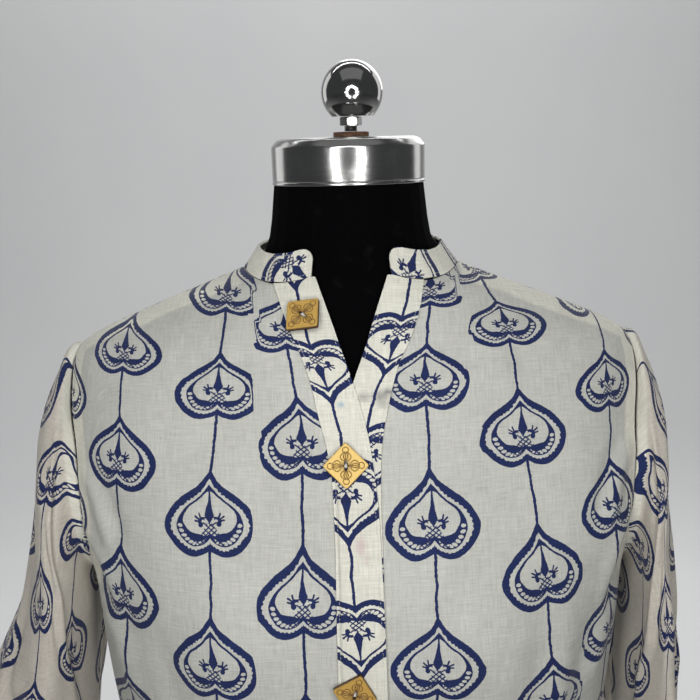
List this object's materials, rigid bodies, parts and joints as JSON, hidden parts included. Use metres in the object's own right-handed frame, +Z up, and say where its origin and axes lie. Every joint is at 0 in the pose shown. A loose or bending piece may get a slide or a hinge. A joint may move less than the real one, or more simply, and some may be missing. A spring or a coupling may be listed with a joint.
{
  "type": "kurta tunic on a dress form",
  "caption": "Block-printed cotton kurta tunic with a band collar, V neck and half placket, worn by a limbless dress form on a round base.",
  "frame": {"origin": "centre of the stand's underside, on the floor", "axes": "+Z up, -Y towards the garment's front, +X to the right of someone who looks at the front"},
  "size_m": [0.5697, 0.38, 1.5282],
  "materials": {
    "printed_cotton": "off-white slub cotton with a dark blue block print",
    "button_wood": "carved, golden brown",
    "form_jersey": "black stretch jersey",
    "chrome": "polished",
    "plain_steel": "plain zinc-plated",
    "rusty_washer": "brown with rust",
    "stand_paint": "black satin paint"
  },
  "bodies": {
    "root": {"kurta_front_left": "printed_cotton", "kurta_front_right": "printed_cotton", "kurta_back": "printed_cotton", "sleeve_left": "printed_cotton", "sleeve_right": "printed_cotton", "collar": "printed_cotton", "placket_top": "printed_cotton", "placket_under": "printed_cotton", "button_top": "button_wood", "button_middle": "button_wood", "button_low": "button_wood", "form_body": "form_jersey", "neck_cap": "chrome", "finial_washer": "rusty_washer", "finial_stud": "plain_steel", "finial_nut": "plain_steel", "finial_ball": "chrome", "stand_pole": "chrome", "stand_base": "stand_paint"}
  },
  "joints": []
}
